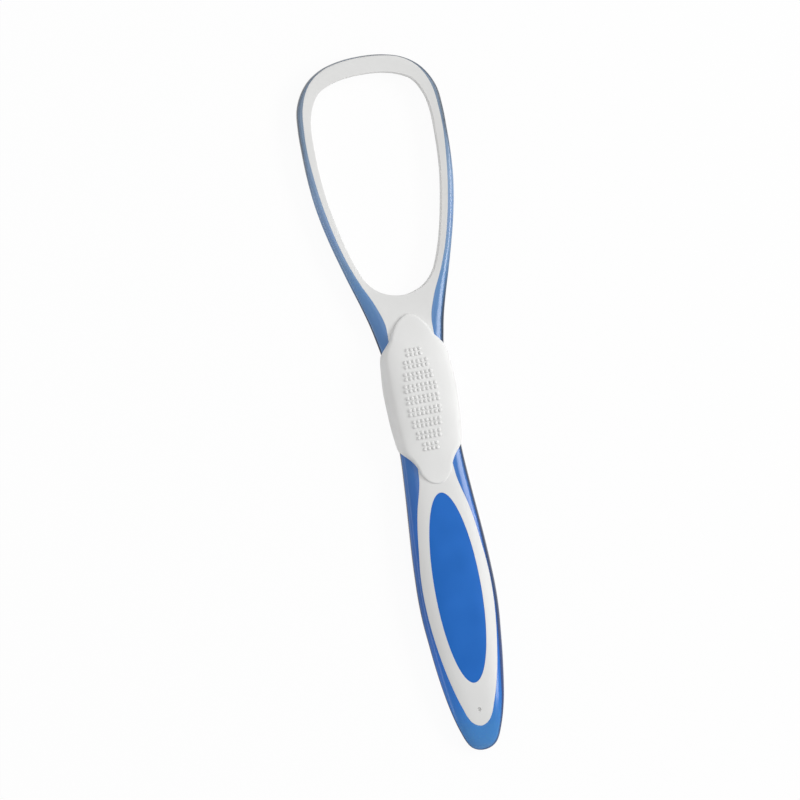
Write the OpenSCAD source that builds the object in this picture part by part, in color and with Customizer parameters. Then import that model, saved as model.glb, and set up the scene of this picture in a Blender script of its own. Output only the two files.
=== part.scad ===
// Tongue scraper: a stiff white core with a wide scraping loop, a blue rim and handle shell moulded round
// it, a blue oval set into the handle and a white thumb sleeve with grip dots over the waist.
// It lies on its back. +Y runs from the tail to the tip of the loop, +X is to the right seen from the front,
// +Z is up, and the origin is under the middle of the whole part, on the surface that it lies on.
// Outlines are drawn along Y from the tail, and each sub-part is then moved to the origin.

/* [Lengths] */
// Tail end to the middle of the thumb sleeve
handle_len = 95; // [85:1:105]
// Middle of the thumb sleeve to the tip of the loop
head_len = 90; // [80:1:100]

/* [Handle] */
// Widest part of the handle
handle_w = 20.9; // [19:0.1:24]
// Thickness of the handle at its widest part
handle_depth = 7.4; // [6.8:0.1:9]
// Blue wall beside the white core, at the widest part
shell_wall = 1.3; // [1:0.1:1.8]
// Blue floor under the white core
shell_floor = 3; // [2.6:0.1:3.4]
// Solid blue end behind the white core
tail_wall = 6.5; // [5:0.1:8]
// White stem between the oval and the thumb sleeve
stem_w = 9.4; // [8:0.2:11]
// Gate mark on the white tail: width
gate_d = 1.2; // [0.8:0.1:2]
// Gate mark: depth
gate_depth = 0.3; // [0.1:0.05:0.5]
// Gate mark: distance from the tail end
gate_from_tail = 10.8; // [9:0.1:13]

/* [Oval] */
// Length of the blue oval
oval_len = 50.6; // [44:0.2:54]
// White ring beside the oval, at the widest part
oval_ring = 3; // [2.4:0.05:3.8]
// White web that is left under the oval
web = 2; // [1.4:0.1:2.4]
// How far the oval lies below the white ring
oval_sink = 0.2; // [0:0.05:0.4]
// Pegs that tie the oval through the web: width
peg_d = 3; // [2:0.1:4]
// Pegs: distance from one to the next
peg_pitch = 15; // [10:0.5:18]
// Number of pegs
pegs = 3; // [1:1:4]
// Clearance round a peg
peg_clear = 0.05; // [0.02:0.01:0.2]

/* [Neck and loop] */
// Width of the core just beside the thumb sleeve
waist_w = 16.4; // [15.3:0.1:17.5]
// Thickness of the core under the thumb sleeve
waist_depth = 5.9; // [5.4:0.1:6.6]
// White neck at its narrowest
neck_w = 12.2; // [10:0.2:13]
// Widest part of the loop
loop_w = 39.1; // [35:0.1:44]
// Thickness of the loop
loop_depth = 3.3; // [2.6:0.1:4]
// Height of the loop's back above the surface
loop_lift = 1.2; // [0.6:0.1:1.6]
// Blue rim at the side of the loop
rim_band = 1.25; // [0.9:0.05:2]
// Blue rim at the tip
tip_rim = 0.4; // [0.3:0.05:1]
// White ring at the side of the loop
ring_w = 2; // [1.8:0.05:2.8]
// White scraping band at the tip
tip_band = 4.4; // [3:0.1:5.5]
// Groove that holds the rim: depth
groove_depth = 0.6; // [0.3:0.05:0.8]
// Groove: width
groove_w = 1.2; // [0.8:0.1:1.6]

/* [Thumb sleeve] */
// Middle of the sleeve to its upper nose
sleeve_up = 21.2; // [19:0.1:23]
// Middle of the sleeve to its lower nose
sleeve_down = 24.1; // [22:0.1:26]
// Widest part of the sleeve
sleeve_w = 19.3; // [18.5:0.1:21]
// Height of the sleeve's crown
sleeve_depth = 9.2; // [8.6:0.1:10.5]
// Edge of the sleeve above the core
leaf_t = 0.5; // [0.3:0.05:0.8]
// Back of the sleeve, let into the core
pocket_depth = 1.2; // [0.8:0.1:1.6]
// Depth that the core is drawn in by under the sleeve
recess = 0.85; // [0.6:0.05:1.1]
// Extra depth of the sleeve's back where the core is drawn in
back_skin = 0.2; // [0.1:0.05:0.4]
// Bevel along the sleeve's back edge
back_bevel = 1.1; // [0.6:0.1:1.4]

/* [Grip dots] */
// Width of a dot
dot_d = 0.75; // [0.5:0.05:0.9]
// Height of a dot above the sleeve
dot_h = 0.3; // [0.2:0.05:0.5]
// Distance from dot to dot
dot_pitch = 1.13; // [1:0.01:1.2]
// Distance from one group of rows to the next
group_pitch = 3.12; // [2.8:0.01:3.3]
// Middle of the pattern below the middle of the sleeve
dots_down = 1.6; // [0:0.1:3]

/* [Hidden] */
$fn = 48;
overall_len = handle_len + head_len;
// One overrun for every cut, and the points that stand between two knots of an outline
over = handle_depth;
steps = 3;
// Where things lie: along the handle, along the sleeve from its middle, and from the rim's ends to the tip
belly_share = 0.44;
oval_share = 0.455;
recess_down_share = 0.58;
recess_up_share = 0.54;
fork_share = 0.1885;
waist_share = 0.5;
// Half widths
handle_half = handle_w / 2;
insert_half = handle_half - shell_wall;
oval_half = insert_half - oval_ring;
stem_half = stem_w / 2;
waist_half = waist_w / 2;
neck_half = neck_w / 2;
loop_half = loop_w / 2;
ring_half = loop_half - rim_band;
hole_half = ring_half - ring_w;
sleeve_half = sleeve_w / 2;
block_half = waist_half - recess;
// Places along the part, from the tail
sleeve_at = handle_len;
shell_end = sleeve_at - recess_down_share * sleeve_down;
rim_start = sleeve_at + recess_up_share * sleeve_up;
core_from = tail_wall / 2;
ring_tip = overall_len - tip_rim;
hole_tip = ring_tip - tip_band;
belly_at = belly_share * handle_len;
oval_at = oval_share * handle_len;
fork_at = mix(rim_start, overall_len, fork_share);
// Heights
loop_top = loop_lift + loop_depth;
web_top = shell_floor + web;
groove_mid = mix(loop_lift, loop_top, 0.5);
key_bottom = pocket_depth + back_skin;
// Numbers of dots across each group of two rows, from the upper nose down
dot_counts = [4, 6, 7, 8, 8, 8, 7, 6, 4];
rows_in_group = 2;

function mix(a, b, share) = a + (b - a) * share;
function wrapped(list, i) = list[(i + len(list)) % len(list)];

// Tangent at b of the curve through a, b and c, per unit of length
function tangent(a, b, c) =
    let (before = norm(b - a), after = norm(c - b))
    ((b - a) * after / before + (c - b) * before / after) / (before + after);
function between(b, c, out, into, t) =
    b * (2 * t ^ 3 - 3 * t ^ 2 + 1) + out * (t ^ 3 - 2 * t ^ 2 + t)
    + c * (3 * t ^ 2 - 2 * t ^ 3) + into * (t ^ 3 - t ^ 2);
// A smooth closed curve through the knots
function curve(knots) = [
    for (i = [0 : len(knots) - 1])
        let (
            b = knots[i],
            c = wrapped(knots, i + 1),
            reach = norm(c - b),
            out = tangent(wrapped(knots, i - 1), b, c) * reach,
            into = tangent(b, c, wrapped(knots, i + 2)) * reach
        )
        for (j = [0 : steps - 1]) between(b, c, out, into, j / steps)
];
// The knots of the right half, from the tail to the tip, and their mirror image back to the tail
function both_sides(right) =
    concat(right, [for (i = [len(right) - 2 : -1 : 1]) [-right[i].x, right[i].y]]);
function right_half(points) = [for (i = [0 : len(points) / 2]) points[i]];

// A height that follows the knots [place, height] and never swings past them
function knot_slope(a, b, c) =
    let (
        before = (b[1] - a[1]) / (b[0] - a[0]),
        after = (c[1] - b[1]) / (c[0] - b[0])
    )
    before * after <= 0 ? 0 : 2 * before * after / (before + after);
function profile(knots) = [
    for (i = [0 : len(knots) - 2])
        let (
            b = knots[i],
            c = knots[i + 1],
            reach = c[0] - b[0],
            out = i == 0 ? (c[1] - b[1]) / reach : knot_slope(knots[i - 1], b, c),
            into = i == len(knots) - 2 ? (c[1] - b[1]) / reach : knot_slope(b, c, knots[i + 2])
        )
        for (j = [0 : steps - 1])
            [b[0] + reach * j / steps, between(b[1], c[1], out * reach, into * reach, j / steps)],
    knots[len(knots) - 1]
];

// Outer outline of the handle: [share of the half width, share of the handle's length]
tail_shares = [[0, 0], [0.25, 0.0075], [0.356, 0.018], [0.414, 0.0285], [0.529, 0.06], [0.691, 0.124],
    [0.795, 0.187], [0.873, 0.25], [0.933, 0.314], [0.984, 0.377], [1, 0.44], [0.984, 0.505]];
// From the handle's half width to the waist's
taper_shares = [[0.208, 0.567], [0.395, 0.63], [0.61, 0.694], [0.8, 0.757], [0.955, 0.82], [0.995, 0.885],
    [1, 0.95]];
// From the waist's half width to the loop's: [share of the difference, share of the way from the rim's ends]
flare_shares = [[0.018, 0], [0.072, 0.045], [0.143, 0.0955], [0.286, 0.172], [0.449, 0.248], [0.605, 0.325],
    [0.745, 0.401], [0.863, 0.478], [0.945, 0.554], [0.987, 0.631], [1, 0.72]];
// Round the tip: [share of the loop's half width, share of the way from the rim's ends]
tip_shares = [[0.997, 0.786], [0.957, 0.863], [0.89, 0.901], [0.777, 0.939], [0.552, 0.977], [0.32, 0.9935],
    [0, 1]];
outer_knots = concat(
    [for (p = tail_shares) [p[0] * handle_half, p[1] * handle_len]],
    [for (p = taper_shares) [mix(handle_half, waist_half, p[0]), p[1] * handle_len]],
    [[waist_half, mix(handle_len, rim_start, waist_share)]],
    [for (p = flare_shares) [mix(waist_half, loop_half, p[0]), mix(rim_start, overall_len, p[1])]],
    [for (p = tip_shares) [p[0] * loop_half, mix(rim_start, overall_len, p[1])]]
);
outer_points = curve(both_sides(outer_knots));

// White core in the handle: from the end of the blue tail to the widest part, then in to the stem
insert_shares = [[0, 0], [0.235, 0.029], [0.344, 0.071], [0.466, 0.156], [0.572, 0.24], [0.658, 0.325],
    [0.734, 0.41], [0.798, 0.494], [0.9, 0.663], [0.97, 0.83], [1, 1]];
shoulder_shares = [[0.032, 0.504], [0.173, 0.567], [0.336, 0.63], [0.596, 0.694], [0.782, 0.726],
    [0.93, 0.757], [1, 0.79], [1, 0.88]];
// White neck and ring: from the neck's half width to the ring's, then round the tip
ring_shares = [[0, 0], [0, 0.045], [0.005, 0.0955], [0.156, 0.172], [0.385, 0.248], [0.576, 0.325],
    [0.716, 0.401], [0.825, 0.478], [0.907, 0.554], [0.964, 0.631], [1, 0.72]];
ring_tip_shares = [[0.992, 0.787], [0.949, 0.866], [0.888, 0.905], [0.781, 0.943], [0.555, 0.98],
    [0.315, 0.9945], [0, 1]];
ring_knots = concat(
    [for (p = ring_shares) [mix(neck_half, ring_half, p[0]), mix(rim_start, overall_len, p[1])]],
    [for (p = ring_tip_shares) [p[0] * ring_half, mix(rim_start, ring_tip, p[1])]]
);
core_knots = concat(
    [for (p = insert_shares) [p[0] * insert_half, mix(tail_wall, belly_at, p[1])]],
    [for (p = shoulder_shares) [mix(insert_half, stem_half, p[0]), p[1] * handle_len]],
    [[mix(stem_half, neck_half, waist_share), mix(handle_len, rim_start, waist_share)]],
    ring_knots
);
core_points = curve(both_sides(core_knots));

// Hole of the loop: [share of the half width, share of the way from the fork to the tip]
hole_shares = [[0, 0], [0.205, 0.009], [0.384, 0.032], [0.56, 0.083], [0.646, 0.133], [0.713, 0.184],
    [0.815, 0.285], [0.893, 0.387], [0.954, 0.488], [0.988, 0.59], [1, 0.7], [0.991, 0.792], [0.963, 0.843],
    [0.898, 0.894], [0.778, 0.944], [0.571, 0.976], [0.32, 0.994], [0, 1]];
hole_knots = [for (p = hole_shares) [p[0] * hole_half, mix(fork_at, hole_tip, p[1])]];

// Heights of the front and of the back: [share of the length, share of the height]
front_tail_shares = [[0, 0.3], [0.012, 0.46], [0.042, 0.62], [0.095, 0.75], [0.19, 0.88], [0.315, 0.965],
    [0.44, 1]];
front_waist_shares = [[0.57, 0.1], [0.694, 0.4], [0.82, 0.72], [1, 1]];
front_head_shares = [[0.133, 0.35], [0.233, 0.6], [0.39, 0.85], [0.61, 1], [1.1, 1]];
back_tail_shares = [[0, 0.2], [0.012, 0.1], [0.042, 0.02], [0.08, 0], [1, 0]];
back_head_shares = [[0.19, 0], [0.33, 0.7], [0.5, 1], [1.1, 1]];
front = profile(concat(
    [for (p = front_tail_shares) [p[0] * handle_len, p[1] * handle_depth]],
    [for (p = front_waist_shares) [p[0] * handle_len, mix(handle_depth, waist_depth, p[1])]],
    [for (p = front_head_shares) [sleeve_at + p[0] * head_len, mix(waist_depth, loop_top, p[1])]]
));
back = profile(concat(
    [for (p = back_tail_shares) [p[0] * handle_len, p[1] * handle_depth]],
    [for (p = back_head_shares) [sleeve_at + p[0] * head_len, p[1] * loop_lift]]
));
function front_z(along) = lookup(along, front);
function back_z(along) = lookup(along, back);
// Points of a height between two places, ends included
function stretch(heights, from, to, rise = 0) = concat(
    [[from, lookup(from, heights) + rise]],
    [for (p = heights) if (p[0] > from && p[0] < to) [p[0], p[1] + rise]],
    [[to, lookup(to, heights) + rise]]
);
function reversed(list) = [for (i = [len(list) - 1 : -1 : 0]) list[i]];

// Moves a sub-part from the tail to the shared origin
module placed() {
    translate([0, -overall_len / 2, 0]) children();
}
// A plan outline raised from one height to another
module raised(from, to) {
    translate([0, 0, from]) linear_extrude(to - from) children();
}
// A side view [along, height] drawn out to both sides
module drawn_across(points, half) {
    rotate([90, 0, 90]) translate([0, 0, -half]) linear_extrude(2 * half) polygon(points);
}
// A closed skin over sections that have as many points each, anticlockwise seen from the front
module loft(sections) {
    rings = len(sections);
    sides = len(sections[0]);
    points = [for (s = sections) for (p = s) p];
    walls = [
        for (i = [0 : rings - 2])
            for (j = [0 : sides - 1])
                let (a = i * sides + j, b = i * sides + (j + 1) % sides)
                for (face = [[a, b, b + sides], [a, b + sides, a + sides]]) face
    ];
    first = [for (j = [sides - 1 : -1 : 0]) j];
    last = [for (j = [0 : sides - 1]) (rings - 1) * sides + j];
    polyhedron(points, concat([first], walls, [last]), convexity = 6);
}

// The part of the core's outline that the rim lies against, and the rim's own outer edge, point for point
rim_first = (len(core_knots) - len(ring_knots)) * steps;
rim_outer_first = (len(outer_knots) - len(ring_knots)) * steps;
rim_inner = [for (i = [rim_first : len(core_points) - rim_first]) wrapped(core_points, i)];
rim_outer = [for (i = [rim_outer_first : len(outer_points) - rim_outer_first]) wrapped(outer_points, i)];
rim_middle = [for (i = [0 : len(rim_inner) - 1]) mix(rim_inner[i], rim_outer[i], 0.5)];
function toward(a, b, reach) = a + (b - a) * reach / norm(b - a);
rim_keyed = [for (i = [0 : len(rim_inner) - 1]) toward(rim_inner[i], rim_outer[i], -groove_depth)];

// Thumb sleeve's outline: [share of the half width, share of the way from the middle to the nose]
sleeve_down_shares = [[0, 1], [0.114, 0.992], [0.249, 0.963], [0.352, 0.917], [0.435, 0.868], [0.468, 0.818],
    [0.544, 0.752], [0.632, 0.702], [0.746, 0.653], [0.845, 0.603], [0.89, 0.55], [0.925, 0.455],
    [0.96, 0.33], [0.985, 0.15]];
sleeve_up_shares = [[1, 0], [0.991, 0.18], [0.96, 0.35], [0.93, 0.47], [0.895, 0.53], [0.845, 0.577],
    [0.745, 0.634], [0.622, 0.704], [0.54, 0.775], [0.435, 0.854], [0.26, 0.944], [0, 1]];
sleeve_knots = concat(
    [for (p = sleeve_down_shares) [p[0] * sleeve_half, sleeve_at - p[1] * sleeve_down]],
    [for (p = sleeve_up_shares) [p[0] * sleeve_half, sleeve_at + p[1] * sleeve_up]]
);
sleeve_points = curve(both_sides(sleeve_knots));
sleeve_right = right_half(sleeve_points);
sleeve_widths = [for (p = sleeve_right) [p.y, p.x]];
sleeve_from = sleeve_at - sleeve_down;
sleeve_to = sleeve_at + sleeve_up;
// Height of the sleeve's edge, and of its crown over that edge at a share of the half width
function edge_z(along) = front_z(along) + leaf_t;
function nose_share(along) =
    along < sleeve_at ? (sleeve_at - along) / sleeve_down : (along - sleeve_at) / sleeve_up;
function crown_z(along, across_share) =
    let (
        along_part = 1 - min(1, nose_share(along)) ^ 2,
        across_part = (1 - abs(across_share) ^ 2.4) ^ 0.6
    )
    edge_z(along) + (sleeve_depth - edge_z(sleeve_at)) * along_part * across_part;

// The white core: scraping ring, neck, key block under the sleeve, stem and the web in the handle
module scraper_frame() {
    heights = concat(
        stretch(front, core_from, shell_end),
        stretch(front, shell_end, rim_start, -leaf_t),
        stretch(front, rim_start, overall_len),
        reversed(stretch(back, rim_start, overall_len)),
        [[rim_start, key_bottom], [shell_end, key_bottom], [shell_end, shell_floor], [core_from, shell_floor]]
    );
    color("white") placed() difference() {
        intersection() {
            raised(-over, over + sleeve_depth) difference() {
                union() {
                    polygon(core_points);
                    polygon([
                        [-block_half, shell_end],
                        [block_half, shell_end],
                        [block_half, rim_start],
                        [-block_half, rim_start]
                    ]);
                }
                polygon(curve(both_sides(hole_knots)));
            }
            drawn_across(heights, loop_w);
        }
        raised(web_top, over + handle_depth) oval_outline();
        peg_places() cylinder(d = peg_d + 2 * peg_clear, h = 2 * over, center = true);
        translate([0, gate_from_tail, front_z(gate_from_tail) - gate_depth]) cylinder(d = gate_d, h = over);
        raised(groove_mid - groove_w / 2, groove_mid + groove_w / 2)
            polygon(concat(rim_outer, reversed(rim_keyed)));
        raised(-over, pocket_depth) polygon(sleeve_points);
    }
}

module oval_outline() {
    points = 96;
    polygon([
        for (i = [0 : points - 1])
            let (turn = 360 * i / points)
            [oval_half * cos(turn), oval_at + oval_len / 2 * sin(turn)]
    ]);
}
module peg_places() {
    for (i = [0 : pegs - 1])
        translate([0, oval_at + (i - (pegs - 1) / 2) * peg_pitch, shell_floor]) children();
}

// The blue rim round the loop, keyed into the ring's groove, with its two ends against the sleeve
module loop_rim() {
    heights = concat(
        stretch(front, rim_start, overall_len + over),
        reversed(stretch(back, rim_start, overall_len + over))
    );
    color("cornflowerblue") placed() difference() {
        union() {
            intersection() {
                raised(-over, over + handle_depth) polygon(concat(rim_outer, reversed(rim_inner)));
                drawn_across(heights, loop_w);
            }
            raised(groove_mid - groove_w / 2, groove_mid + groove_w / 2)
                polygon(concat(rim_middle, reversed(rim_keyed)));
        }
        raised(-over, pocket_depth) polygon(sleeve_points);
    }
}

// The blue shell round the handle: sides, back and tail
module handle_shell() {
    // Right half of a section, from the back up: [share of the rounding, share of the height]
    back_round_shares = [[1, 0], [0.45, 0.1], [0.12, 0.28], [0, 0.5]];
    front_round_shares = [[0, 0.72], [0.3, 0.9], [1, 1]];
    back_round_share = 0.32;
    front_round_share = 0.9;
    first_share = 0.03;
    stations = concat(
        [[first_share * handle_half, 0]],
        [for (p = right_half(outer_points)) if (p.y > 0 && p.y < shell_end - shell_wall) p],
        [[lookup(shell_end, [for (p = right_half(outer_points)) [p.y, p.x]]), shell_end]]
    );
    sections = [
        for (s = stations)
            let (
                low = back_z(s.y),
                high = front_z(s.y),
                back_round = back_round_share * s.x,
                front_round = min(front_round_share * shell_wall, s.x / 2),
                right = concat(
                    [for (p = back_round_shares) [s.x - p[0] * back_round, s.y, mix(low, high, p[1])]],
                    [for (p = front_round_shares) [s.x - p[0] * front_round, s.y, mix(low, high, p[1])]]
                )
            )
            concat(right, [for (p = reversed(right)) [-p.x, p.y, p.z]])
    ];
    color("royalblue") placed() difference() {
        loft(sections);
        raised(shell_floor, over + handle_depth) intersection() {
            polygon(core_points);
            translate([-handle_w, 0]) square([2 * handle_w, shell_end + over]);
        }
        raised(-over, pocket_depth) polygon(sleeve_points);
    }
}

// The blue oval, tied through the web by its pegs
module oval_grip() {
    // The side view runs a little past both ends of the oval
    reach = 0.55 * oval_len;
    heights = concat(
        stretch(front, oval_at - reach, oval_at + reach, -oval_sink),
        [[oval_at + reach, web_top], [oval_at - reach, web_top]]
    );
    color("royalblue") placed() {
        intersection() {
            raised(web_top, over + handle_depth) oval_outline();
            drawn_across(heights, handle_w);
        }
        peg_places() cylinder(d = peg_d, h = web);
    }
}

// The white sleeve over the waist: a leaf on the front, a leaf let into the back and a wall at each side
module thumb_sleeve() {
    crown_shares = [1, 0.97, 0.9, 0.78, 0.6, 0.35, 0];
    first_share = 0.02;
    inner = [for (i = [1 : len(sleeve_right) - 2]) sleeve_right[i]];
    stations = concat(
        [[first_share * sleeve_half, sleeve_from]],
        inner,
        [[first_share * sleeve_half, sleeve_to]]
    );
    sections = [
        for (s = stations)
            let (
                bevel = min(back_bevel, s.x / 2),
                right = concat(
                    [[s.x - bevel, s.y, 0], [s.x, s.y, bevel]],
                    [for (share = crown_shares) [share * s.x, s.y, crown_z(s.y, share)]]
                ),
                left = [for (i = [len(right) - 2 : -1 : 0]) [-right[i].x, right[i].y, right[i].z]]
            )
            concat(right, left)
    ];
    color("whitesmoke") placed() {
        difference() {
            loft(sections);
            drawn_across(concat(
                stretch(front, sleeve_from - over, shell_end),
                [[shell_end, pocket_depth], [sleeve_from - over, pocket_depth]]
            ), handle_w);
            drawn_across(concat(
                stretch(front, shell_end, rim_start, -leaf_t),
                [[rim_start, key_bottom], [shell_end, key_bottom]]
            ), block_half);
            drawn_across(concat(
                stretch(front, rim_start, sleeve_to + over),
                [[sleeve_to + over, pocket_depth], [rim_start, pocket_depth]]
            ), handle_w);
        }
        grip_dots();
    }
}

// Rows of dots in groups, wider toward the middle of the sleeve
module grip_dots() {
    groups = len(dot_counts);
    for (g = [0 : groups - 1])
        for (r = [0 : rows_in_group - 1])
            for (i = [0 : dot_counts[g] - 1])
                let (
                    along = sleeve_at - dots_down + ((groups - 1) / 2 - g) * group_pitch
                        + ((rows_in_group - 1) / 2 - r) * dot_pitch,
                    across = (i - (dot_counts[g] - 1) / 2) * dot_pitch,
                    surface = crown_z(along, across / lookup(along, sleeve_widths))
                )
                translate([across, along, surface - dot_d]) cylinder(d = dot_d, h = dot_d + dot_h);
}

scraper_frame();
loop_rim();
handle_shell();
oval_grip();
thumb_sleeve();
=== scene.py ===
import math

import bmesh
import bpy
import numpy as np
from mathutils import Matrix, Vector


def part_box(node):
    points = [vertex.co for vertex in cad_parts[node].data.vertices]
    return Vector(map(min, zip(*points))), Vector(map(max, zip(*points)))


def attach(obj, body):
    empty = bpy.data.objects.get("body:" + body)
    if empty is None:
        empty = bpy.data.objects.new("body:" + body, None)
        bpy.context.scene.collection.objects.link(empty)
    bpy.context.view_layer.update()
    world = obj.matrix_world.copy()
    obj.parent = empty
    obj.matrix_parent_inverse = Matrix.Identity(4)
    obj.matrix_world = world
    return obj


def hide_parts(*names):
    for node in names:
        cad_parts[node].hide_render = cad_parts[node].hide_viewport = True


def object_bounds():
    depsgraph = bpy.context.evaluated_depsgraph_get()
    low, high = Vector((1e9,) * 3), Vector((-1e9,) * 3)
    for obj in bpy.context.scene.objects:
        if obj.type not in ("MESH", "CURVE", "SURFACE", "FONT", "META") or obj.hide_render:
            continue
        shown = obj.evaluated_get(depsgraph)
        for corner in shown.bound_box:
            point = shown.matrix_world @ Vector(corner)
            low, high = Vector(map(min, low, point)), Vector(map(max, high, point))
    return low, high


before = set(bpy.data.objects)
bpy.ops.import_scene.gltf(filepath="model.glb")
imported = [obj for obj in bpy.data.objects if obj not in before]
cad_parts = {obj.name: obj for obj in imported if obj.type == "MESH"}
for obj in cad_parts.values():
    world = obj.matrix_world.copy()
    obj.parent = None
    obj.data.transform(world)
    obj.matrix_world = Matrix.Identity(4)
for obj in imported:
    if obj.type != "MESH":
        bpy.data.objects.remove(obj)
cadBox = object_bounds()
mm = 0.001


def nodeHalf(node):
    # half of a solid's width
    low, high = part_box(node)
    return (high[0] - low[0]) / mm / 2


# Sizes in millimetres. Outlines run along the object from the tail end, and across it from the middle.
body = {
    "length": (cadBox[1].y - cadBox[0].y) / mm,
    "handleLength": 95.0,  # tail end to the middle of the thumb sleeve
    "headLength": 90.0,  # and from there to the tip
    "bellyShare": 0.44,  # where the handle is widest, as a share of its length
    "handleDepth": 7.4,
    "tailWall": 6.5,  # blue behind the white core
    "shellWall": 1.3,  # blue beside the white core
    "stemHalf": 4.7,
    "waistHalf": 8.2,
    "waistDepth": 5.9,
    "neckHalf": 6.1,
    "rimStart": 106.45,
    "rimBand": 1.25,
    "tipRim": 0.4,
    "ringWidth": 2.0,
    "tipBand": 4.4,
    "forkShare": 0.1885,  # where the hole starts, as a share of the way from the rim's ends to the tip
    "loopLift": 1.2,  # the loop's back stands clear of the table
    "loopDepth": 3.3,
    "sleeveDown": 24.1,  # the thumb sleeve's noses, from its middle toward the tail and toward the tip
    "sleeveUp": 21.2,
    "backLift": 0.12,  # the thumb sleeve's back stands this far proud of the rest
    "seam": 0.016,  # rounding of the edges that meet at a seam
}
handleHalf = nodeHalf("handle_shell")
loopHalf = nodeHalf("loop_rim")
sleeveHalf = nodeHalf("thumb_sleeve")
waistHalf, stemHalf, neckHalf = body["waistHalf"], body["stemHalf"], body["neckHalf"]
insertHalf = handleHalf - body["shellWall"]
ringHalf = loopHalf - body["rimBand"]
holeHalf = ringHalf - body["ringWidth"]
rimStart = body["rimStart"]
ringTip = body["length"] - body["tipRim"]
holeTip = ringTip - body["tipBand"]
forkAt = rimStart + body["forkShare"] * (body["length"] - rimStart)


def mix(a, b, share):
    return a + (b - a) * share


def eased(low, high, value):
    t = np.clip((np.asarray(value, float) - low) / (high - low), 0, 1)
    return t * t * (3 - 2 * t)


def hermite(b, c, out, into, t):
    return (b * (2 * t**3 - 3 * t**2 + 1) + out * (t**3 - 2 * t**2 + t)
            + c * (3 * t**2 - 2 * t**3) + into * (t**3 - t**2))


def tangentAt(a, b, c):
    before, after = np.linalg.norm(b - a), np.linalg.norm(c - b)
    return ((b - a) * after / before + (c - b) * before / after) / (before + after)


loopSteps = 14  # points from one knot of an outline to the next


def smoothLoop(rightKnots):
    # the right half's knots from the tail to the tip, mirrored to a closed smooth line
    right = np.array(rightKnots, float)
    left = right[-2:0:-1] * [-1, 1]
    knots = np.vstack([right, left])
    count = len(knots)
    points = []
    for i in range(count):
        a, b, c, d = (knots[(i + j) % count] for j in (-1, 0, 1, 2))
        reach = np.linalg.norm(c - b)
        out, into = tangentAt(a, b, c) * reach, tangentAt(b, c, d) * reach
        points += [hermite(b, c, out, into, j / loopSteps) for j in range(loopSteps)]
    return np.array(points)


def rightOf(loop):
    return loop[: len(loop) // 2 + 1]


def heightCurve(knots):
    along, height = np.array(knots, float).T
    chord = np.diff(height) / np.diff(along)
    slope = np.concatenate([chord[:1], np.zeros(len(chord) - 1), chord[-1:]])
    for i in range(1, len(chord)):
        if chord[i - 1] * chord[i] > 0:
            slope[i] = 2 * chord[i - 1] * chord[i] / (chord[i - 1] + chord[i])

    def heightAt(place):
        place = np.asarray(place, float)
        i = np.clip(np.searchsorted(along, place) - 1, 0, len(chord) - 1)
        reach = along[i + 1] - along[i]
        t = np.clip((place - along[i]) / reach, 0, 1)
        return hermite(height[i], height[i + 1], slope[i] * reach, slope[i + 1] * reach, t)

    return heightAt


# Outer outline: shares of the half width and of the length, from the tail to the waist and on to the tip
tailShares = [(0, 0), (0.25, 0.0075), (0.356, 0.018), (0.414, 0.0285), (0.529, 0.06), (0.691, 0.124),
              (0.795, 0.187), (0.873, 0.25), (0.933, 0.314), (0.984, 0.377), (1, 0.44), (0.984, 0.505)]
taperShares = [(0.208, 0.567), (0.395, 0.63), (0.61, 0.694), (0.8, 0.757), (0.955, 0.82), (0.995, 0.885),
               (1, 0.95)]
flareShares = [(0.018, 0), (0.072, 0.045), (0.143, 0.0955), (0.286, 0.172), (0.449, 0.248), (0.605, 0.325),
               (0.745, 0.401), (0.863, 0.478), (0.945, 0.554), (0.987, 0.631), (1, 0.72)]
tipShares = [(0.997, 0.786), (0.957, 0.863), (0.89, 0.901), (0.777, 0.939), (0.552, 0.977), (0.32, 0.9935),
             (0, 1)]
# White core: the inlay in the handle, its shoulder to the stem, then the neck, the ring and the scraping band
insertShares = [(0, 0), (0.235, 0.029), (0.344, 0.071), (0.466, 0.156), (0.572, 0.24), (0.658, 0.325),
                (0.734, 0.41), (0.798, 0.494), (0.9, 0.663), (0.97, 0.83), (1, 1)]
shoulderShares = [(0.032, 0.504), (0.173, 0.567), (0.336, 0.63), (0.596, 0.694), (0.782, 0.726),
                  (0.93, 0.757), (1, 0.79), (1, 0.88)]
ringShares = [(0, 0), (0, 0.045), (0.005, 0.0955), (0.156, 0.172), (0.385, 0.248), (0.576, 0.325),
              (0.716, 0.401), (0.825, 0.478), (0.907, 0.554), (0.964, 0.631), (1, 0.72)]
ringTipShares = [(0.992, 0.787), (0.949, 0.866), (0.888, 0.905), (0.781, 0.943), (0.555, 0.98),
                 (0.315, 0.9945), (0, 1)]
holeShares = [(0, 0), (0.205, 0.009), (0.384, 0.032), (0.56, 0.083), (0.646, 0.133), (0.713, 0.184),
              (0.815, 0.285), (0.893, 0.387), (0.954, 0.488), (0.988, 0.59), (1, 0.7), (0.991, 0.792),
              (0.963, 0.843), (0.898, 0.894), (0.778, 0.944), (0.571, 0.976), (0.32, 0.994), (0, 1)]
# Thumb sleeve: shares of the half width and of the way from the middle to each nose
sleeveDownShares = [(0, 1), (0.114, 0.992), (0.249, 0.963), (0.352, 0.917), (0.435, 0.868), (0.468, 0.818),
                    (0.544, 0.752), (0.632, 0.702), (0.746, 0.653), (0.845, 0.603), (0.89, 0.55),
                    (0.925, 0.455), (0.96, 0.33), (0.985, 0.15)]
sleeveUpShares = [(1, 0), (0.991, 0.18), (0.96, 0.35), (0.93, 0.47), (0.895, 0.53), (0.845, 0.577),
                  (0.745, 0.634), (0.622, 0.704), (0.54, 0.775), (0.435, 0.854), (0.26, 0.944), (0, 1)]

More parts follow.
